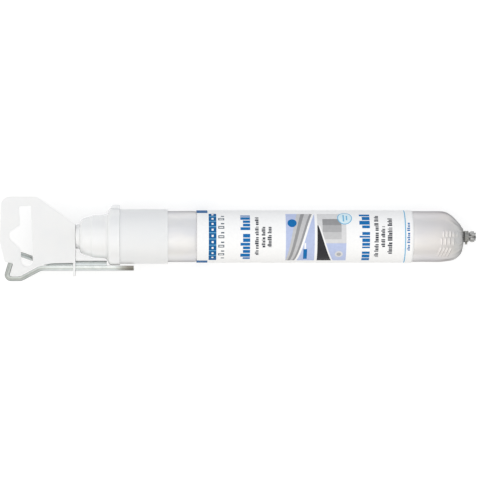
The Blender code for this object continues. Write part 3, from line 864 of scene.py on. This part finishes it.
def label_skin():
    """A function that takes a place on the unrolled label to its outer skin."""
    tree = ray_tree("label_wrap")
    low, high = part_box("label_wrap")
    radius, length = high.y, high.x - low.x
    settled = settled_place()
    stations = spaced(TIP_MARGIN, length - TIP_MARGIN, LABEL_STEP)
    centres = [lying_centre(tree, low.x + a, radius, settled) for a in stations]
    radii = np.array([section(tree, low.x + a, c, SKIN_COLUMNS) for a, c in zip(stations, centres)])
    radii += radius - radii.max()

    def place(along, across):
        angle = math.pi / 2 - across / radius
        row = float(np.interp(along, stations, range(len(stations))))
        first = min(int(row), len(stations) - 2)
        column = angle / (2 * math.pi) * SKIN_COLUMNS % SKIN_COLUMNS
        left = int(column)
        right = (left + 1) % SKIN_COLUMNS
        ends = []
        for i in (first, first + 1):
            ends.append(radii[i, left] + (radii[i, right] - radii[i, left]) * (column - left))
        reach = ends[0] + (ends[1] - ends[0]) * (row - first)
        centre = centres[first] + (centres[first + 1] - centres[first]) * (row - first)
        return low.x + along, reach * math.cos(angle), max(centre + reach * math.sin(angle), low.z)

    return place


def make_label(inks):
    """The film label, wrapped round the bag with its print as patches of ink."""
    low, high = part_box("label_wrap")
    work = printed_sheet(high.x - low.x, math.pi * high.y)
    place = label_skin()
    for vertex in work.verts:
        vertex.co = place(vertex.co.x, vertex.co.y)
    bmesh.ops.remove_doubles(work, verts=work.verts, dist=NUDGE)
    mesh = bpy.data.meshes.new("label_film")
    work.to_mesh(mesh)
    work.free()
    for ink in sorted(inks):
        mesh.materials.append(film_look(f"film_{ink}", inks[ink]))
    label = put("label_film", mesh)
    wall = label.modifiers.new("Wall", "SOLIDIFY")
    wall.thickness = LABEL_WALL
    wall.offset = -1.0
    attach(label, "pack")
    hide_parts("label_wrap")


def rounded(points, radius, closed=False):
    """Round each corner of an outline in a plane by a short curve, and a shallow one by a longer curve."""
    result = []
    count = len(points)
    for i, point in enumerate(points):
        here = Vector(point)
        if not closed and i in (0, count - 1):
            result.append(tuple(here))
            continue
        before = Vector(points[i - 1]) - here
        after = Vector(points[(i + 1) % count]) - here
        reach = radius * (SOFT_BEND if before.angle(after) > SHALLOW else 1.0)
        first = here + before.normalized() * min(reach, before.length * CORNER_SHARE)
        last = here + after.normalized() * min(reach, after.length * CORNER_SHARE)
        for k in range(CORNER_STEPS + 1):
            share = k / CORNER_STEPS
            curve = first * (1 - share) ** 2 + here * (2 * share * (1 - share)) + last * share ** 2
            result.append(tuple(curve))
    return result


def turned_outline(node):
    """A turned solid's outline as (place along X, radius), read by rays along its underside."""
    tree = ray_tree(node)
    low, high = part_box(node)
    axis = (low.z + high.z) / 2
    marks = sorted({round(v.co.x, 7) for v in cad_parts[node].data.vertices})
    places = [mark + side for mark in marks for side in (-NUDGE, NUDGE) if low.x < mark + side < high.x]
    outer, inner = [], []
    for x in places:
        outside = tree.ray_cast(Vector((x, NUDGE, low.z - high.z)), Vector((0.0, 0.0, 1.0)))[0]
        inside = tree.ray_cast(Vector((x, NUDGE, axis)), Vector((0.0, 0.0, -1.0)))[0]
        outer.append((x, axis - outside.z))
        if inside.z - outside.z > NUDGE:
            inner.append((x, axis - inside.z))
    loop = outer + inner[::-1]
    if inner[0][0] > low.x + MM:
        loop = [(loop[0][0], 0.0)] + loop + [(inner[0][0], 0.0)]
    return without_straight(loop), axis


def without_straight(loop):
    """An outline without the points at which it doesn't bend."""
    slim = [loop[0]]
    for here, after in zip(loop[1:], loop[2:] + loop[:1]):
        before = slim[-1]
        bend = (here[0] - before[0]) * (after[1] - here[1]) - (here[1] - before[1]) * (after[0] - here[0])
        if abs(bend) > NUDGE * NUDGE:
            slim.append(here)
    return slim


def brought_up(outline, neighbour):
    """An outline whose face and front corner come up to a neighbour, across the clearance of the solids."""
    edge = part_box(neighbour)[1].x
    face = min(x for x, _ in outline if x > edge)
    rim = max(radius for x, radius in outline if face - NUDGE < x < face + CORNER_REACH)
    result = []
    for x, radius in outline:
        at_face = abs(x - face) < 3 * NUDGE
        at_corner = face < x < face + CORNER_REACH and radius > rim - 3 * NUDGE
        result.append((edge + TOUCH if at_face or at_corner else x, radius))
    return result


def turned_copy(node, name, material, body, edge, neighbour):
    """A finer copy of a turned CAD solid, with its corners rounded and its face up to its neighbour."""
    outline, axis = turned_outline(node)
    outline = brought_up(outline, neighbour)
    closed = outline[0][1] > 0
    vertices, rings = [], []
    for x, radius in rounded(outline, edge, closed):
        count = 1 if radius < NUDGE else TURNED_COLUMNS
        rings.append((len(vertices), count))
        for k in range(count):
            angle = 2 * math.pi * k / TURNED_COLUMNS
            vertices.append((x, radius * math.cos(angle), axis + radius * math.sin(angle)))
    faces = []
    following = rings[1:] + rings[:1] if closed else rings[1:]
    for (first, one), (second, two) in zip(rings, following):
        for k in range(TURNED_COLUMNS):
            n = (k + 1) % TURNED_COLUMNS
            corners = [first + k % one, first + n % one, second + n % two, second + k % two]
            faces.append(tuple(dict.fromkeys(corners)))
    piece = new_piece(name, vertices, faces, [material])
    piece.data.set_sharp_from_angle(angle=TURNED_SHARP)
    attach(piece, body)
    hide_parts(node)


def make_lug(material):
    """The nozzle's rim lug, a small block with a slanted front and rounded edges."""
    low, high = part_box("nozzle")
    radius = -low.y
    seen = [v.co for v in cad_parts["nozzle"].data.vertices if v.co.y > radius + LUG_CLEAR]
    start, end = min(v.x for v in seen) - LUG_FRONT, max(v.x for v in seen)
    foot, top = min(v.z for v in seen), max(v.z for v in seen)
    sunk = radius - LUG_SUNK
    work = bmesh.new()
    bmesh.ops.create_cube(work, size=1.0)
    size = Vector((end - start, high.y - sunk, top - foot))
    middle = Vector(((start + end) / 2, (sunk + high.y) / 2, (foot + top) / 2))
    for vertex in work.verts:
        vertex.co = middle + vertex.co * size
        if vertex.co.x < middle.x and vertex.co.y > middle.y:
            vertex.co.x += LUG_SLANT
    bmesh.ops.bevel(work, geom=work.edges, offset=LUG_EDGE, segments=3, affect="EDGES", profile=0.5)
    mesh = bpy.data.meshes.new("rim_lug")
    work.to_mesh(mesh)
    work.free()
    mesh.materials.append(material)
    mesh.shade_smooth()
    lug = put("rim_lug", mesh)
    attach(lug, "nozzle")


def wire_line(node):
    """The wire's flat side seen from above, in order from the end of its long leg."""
    work = bmesh.new()
    work.from_mesh(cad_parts[node].data)
    bmesh.ops.remove_doubles(work, verts=work.verts, dist=NUDGE)
    top = max(v.co.z for v in work.verts)
    line = {v for v in work.verts if top - v.co.z < NUDGE}
    here = max(line, key=lambda v: v.co.x)
    points = []
    while here:
        points.append((here.co.x, here.co.y))
        line.discard(here)
        ahead = [edge.other_vert(here) for edge in here.link_edges if edge.other_vert(here) in line]
        here = min(ahead, key=lambda v: (v.co - here.co).length) if ahead else None
    work.free()
    return points


def wire_section(thickness, half):
    """The wire's half-round section as (depth, rise), with its corners rounded."""
    arc = []
    for k in range(WIRE_STEPS + 1):
        angle = math.pi * k / WIRE_STEPS
        arc.append((thickness * math.sin(angle), half * math.cos(angle)))
    return rounded(arc, WIRE_EDGE, closed=True)


def make_key(material):
    """The winding key: one half-round wire, swept finely along the CAD wire's bends."""
    node = "winding_key"
    low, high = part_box(node)
    middle = (low.z + high.z) / 2
    line = [Vector(point) for point in rounded(wire_line(node), WIRE_BEND)]
    cap = [v.co.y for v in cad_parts[node].data.vertices if high.x - v.co.x < NUDGE]
    outline = wire_section(max(cap) - min(cap), (high.z - low.z) / 2)
    vertices = []
    for i, here in enumerate(line):
        ahead = (line[min(i + 1, len(line) - 1)] - line[max(i - 1, 0)]).normalized()
        outward = Vector((-ahead.y, ahead.x))
        for depth, rise in outline:
            place = here + outward * depth
            vertices.append((place.x, place.y, middle + rise))
    count, total = len(outline), len(vertices)
    faces = [tuple(range(count)), tuple(range(total - 1, total - count - 1, -1))]
    for i in range(len(line) - 1):
        for k in range(count):
            n = (k + 1) % count
            faces.append((i * count + k, (i + 1) * count + k, (i + 1) * count + n, i * count + n))
    key = new_piece("key_wire", vertices, faces, [material])
    key.data.set_sharp_from_angle(angle=TURNED_SHARP)
    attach(key, "key")
    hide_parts(node)


def refined(node, name, material, body, bevel=0.0):
    """A welded, smooth-shaded copy of a CAD solid, with its sharp edges slightly rounded."""
    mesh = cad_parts[node].data.copy()
    work = bmesh.new()
    work.from_mesh(mesh)
    bmesh.ops.remove_doubles(work, verts=work.verts, dist=WELD)
    bmesh.ops.dissolve_limit(work, angle_limit=FLAT_ANGLE, verts=work.verts, edges=work.edges)
    work.to_mesh(mesh)
    work.free()
    mesh.materials.clear()
    mesh.materials.append(material)
    piece = put(name, mesh)
    if bevel:
        edges = piece.modifiers.new("Edges", "BEVEL")
        edges.width = bevel
        edges.segments = 2
        edges.limit_method = "ANGLE"
        edges.angle_limit = SHARP_ANGLE
    mesh.shade_smooth()
    mesh.set_sharp_from_angle(angle=SHARP_ANGLE)
    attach(piece, body)
    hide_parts(node)


def make_camera():
    """The photograph's viewing angle: almost straight down on the lying pack."""
    data = bpy.data.cameras.new("camera")
    data.lens = CAMERA_LENS
    data.sensor_width = CAMERA_SENSOR
    data.clip_end = CAMERA_REACH
    camera = put("camera", data)
    place = Vector((CAMERA_X, CAMERA_Y, AXIS_HEIGHT + CAMERA_RISE))
    aim = Vector((AIM_X, CAMERA_Y, AXIS_HEIGHT))
    back = (place - aim).normalized()
    up = Vector((0.0, 1.0, 0.0))
    right = up.cross(back).normalized()
    camera.location = place
    camera.rotation_euler = Matrix((right, up, back)).transposed().to_euler()
    bpy.context.scene.camera = camera


def seen_directly(tree):
    """1 for rays from the camera and for rays in gloss and glass, else 0."""
    path = tree.nodes.new("ShaderNodeLightPath")
    total = path.outputs["Is Camera Ray"]
    for kind in ("Is Glossy Ray", "Is Transmission Ray"):
        node = tree.nodes.new("ShaderNodeMath")
        node.operation = "MAXIMUM"
        tree.links.new(total, node.inputs[0])
        tree.links.new(path.outputs[kind], node.inputs[1])
        total = node.outputs[0]
    return total


def floor_look():
    """Pale and dull, with a glow seen directly that brings it up to white."""
    material = bpy.data.materials.new("floor_white")
    material.use_nodes = True
    tree = material.node_tree
    shader = tree.nodes["Principled BSDF"]
    shader.inputs["Base Color"].default_value = (*even(FLOOR_COLOUR), 1.0)
    shader.inputs["Roughness"].default_value = FLOOR_ROUGHNESS
    shader.inputs["Specular IOR Level"].default_value = 0.0
    shader.inputs["Emission Color"].default_value = (1.0, 1.0, 1.0, 1.0)
    glow = tree.nodes.new("ShaderNodeMath")
    glow.operation = "MULTIPLY"
    glow.inputs[1].default_value = FLOOR_GLOW
    tree.links.new(seen_directly(tree), glow.inputs[0])
    tree.links.new(glow.outputs[0], shader.inputs["Emission Strength"])
    return material


def make_floor():
    """A pale floor that keeps the pack's shadow and shows white."""
    half = FLOOR_SIZE / 2
    corners = [(-half, -half, 0), (half, -half, 0), (half, half, 0), (-half, half, 0)]
    mesh = bpy.data.meshes.new("floor")
    mesh.from_pydata(corners, [], [(0, 1, 2, 3)])
    mesh.materials.append(floor_look())
    put("floor", mesh)


def make_surround():
    """A soft surround, brighter and warmer on the near side and the head's side."""
    world = bpy.data.worlds.new("surround")
    bpy.context.scene.world = world
    world.use_nodes = True
    tree = world.node_tree
    where = tree.nodes.new("ShaderNodeTexCoord")
    across = tree.nodes.new("ShaderNodeVectorMath")
    across.operation = "DOT_PRODUCT"
    across.inputs[1].default_value = SURROUND_SIDE
    side = tree.nodes.new("ShaderNodeMapRange")
    side.interpolation_type = "SMOOTHSTEP"
    side.inputs["From Min"].default_value = -1.0
    tint = tree.nodes.new("ShaderNodeMix")
    tint.data_type = "RGBA"
    sockets = by_identifier(tint.inputs)
    sockets["A_Color"].default_value = (*SURROUND_NEAR, 1.0)
    sockets["B_Color"].default_value = (*SURROUND_FAR, 1.0)
    tree.links.new(where.outputs["Generated"], across.inputs[0])
    tree.links.new(across.outputs["Value"], side.inputs["Value"])
    tree.links.new(side.outputs["Result"], sockets["Factor_Float"])
    colour = by_identifier(tint.outputs)["Result_Color"]
    tree.links.new(colour, tree.nodes["Background"].inputs["Color"])


def make_lamp(name, height, start, end, brightness):
    """A wide soft lamp overhead that spans the angles from start to end across the pack."""
    low, high = (height * math.tan(math.radians(side)) for side in (start, end))
    data = bpy.data.lights.new(name, "AREA")
    data.shape = "RECTANGLE"
    data.size = LAMP_END - LAMP_START
    data.size_y = high - low
    data.energy = brightness * math.pi * data.size * data.size_y
    lamp = put(name, data)
    lamp.location = ((LAMP_START + LAMP_END) / 2, (low + high) / 2, height)
    lamp.visible_camera = False


def main():
    """Build the stage, then the pack from its bag outwards."""
    bpy.context.scene.view_settings.view_transform = "Standard"
    make_camera()
    make_floor()
    make_surround()
    make_lamp("panel", **PANEL_LAMP)
    make_lamp("key", **KEY_LAMP)
    make_bag(foil_look("foil_look"), crushed_look(), foil_look("stroke_highlight_look", HIGHLIGHT_TONE))
    make_label(INKS)
    dull = plastic_look("white_look", COLLAR_TONES)
    glossy = plastic_look("glossy_white_look", NOZZLE_TONES, coat=1.0)
    turned_copy("collar", "collar_sleeve", dull, "pack", COLLAR_EDGE, "nozzle")
    turned_copy("nozzle", "nozzle_moulding", glossy, "nozzle", NOZZLE_EDGE, "hang_tab")
    make_lug(glossy)
    make_key(steel_look())
    refined("hang_tab", "tab_moulding", tab_look(), "hanger", TAB_EDGE)
    refined("tail_clip", "crimped_clip", clip_look(), "pack")


main()
